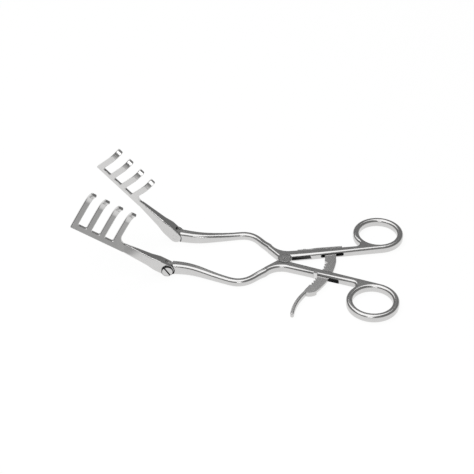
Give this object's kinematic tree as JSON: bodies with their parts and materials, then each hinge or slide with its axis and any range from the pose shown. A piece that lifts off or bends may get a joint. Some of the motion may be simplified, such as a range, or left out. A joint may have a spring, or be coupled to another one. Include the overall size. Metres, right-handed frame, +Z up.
{
  "type": "self retaining retractor",
  "caption": "Self retaining surgical retractor with two finger rings, bowed arms joined by a screw, a cam ratchet with thumb release, and hinged blades with curved blunt prongs.",
  "frame": {"origin": "under the lock screw, on the plane of the flat underside of the handles", "axes": "+X to the finger rings, +Y to the rear arm, which carries the ratchet bar, +Z up, the side to which the blades tilt"},
  "size_m": [0.2792, 0.1385, 0.0929],
  "materials": {
    "satin_steel": "satin brushed stainless steel",
    "blade_steel": "polished stainless steel with fine grinding lines",
    "screw_steel": "turned stainless steel, slotted",
    "ratchet_steel": "ground hardened stainless steel",
    "spring_steel": "bright spring steel strip",
    "pawl_steel": "ground hardened stainless steel"
  },
  "bodies": {
    "front_arm": {"front_arm": "satin_steel", "lock_screw": "screw_steel", "pawl_insert": "pawl_steel"},
    "rear_arm": {"rear_arm": "satin_steel", "leaf_screw": "screw_steel", "ratchet_pin": "screw_steel"},
    "ratchet_bar": {"ratchet_bar": "ratchet_steel"},
    "leaf_spring": {"leaf_spring": "spring_steel"},
    "rear_blade": {"rear_blade": "blade_steel", "rear_hinge_screw": "screw_steel"},
    "front_blade": {"front_blade": "blade_steel", "front_hinge_screw": "screw_steel"}
  },
  "joints": [
    {"name": "arm_spread", "type": "hinge", "parent": "front_arm", "child": "rear_arm", "pos_m": [0, 0, 0.0037], "axis": [0, 0, 1], "range_deg": [-30, 14]},
    {"name": "ratchet_release", "type": "hinge", "parent": "rear_arm", "child": "ratchet_bar", "pos_m": [0.0388, 0.01593, 0.0037], "axis": [0, 0, 1], "range_deg": [0, 8], "stiffness_Nm_per_rad": 0.05, "springref_deg": -11.46},
    {"name": "leaf_flex", "type": "hinge", "parent": "rear_arm", "child": "leaf_spring", "pos_m": [0.00977, 0.01334, 0.0037], "axis": [0, 0, 1], "range_deg": [0, 2]},
    {"name": "rear_blade_tilt", "type": "hinge", "parent": "rear_arm", "child": "rear_blade", "pos_m": [-0.1, 0.0235, 0.0064], "axis": [0.1771, 0.9842, 0], "range_deg": [-42.8, 32.2]},
    {"name": "front_blade_tilt", "type": "hinge", "parent": "front_arm", "child": "front_blade", "pos_m": [-0.1, -0.0235, 0.0064], "axis": [-0.1771, 0.9842, 0], "range_deg": [-34.5, 40.5]}
  ],
  "couplings": [
    {"joint": "leaf_flex", "follows": "ratchet_release", "ratio": 0.2}
  ]
}
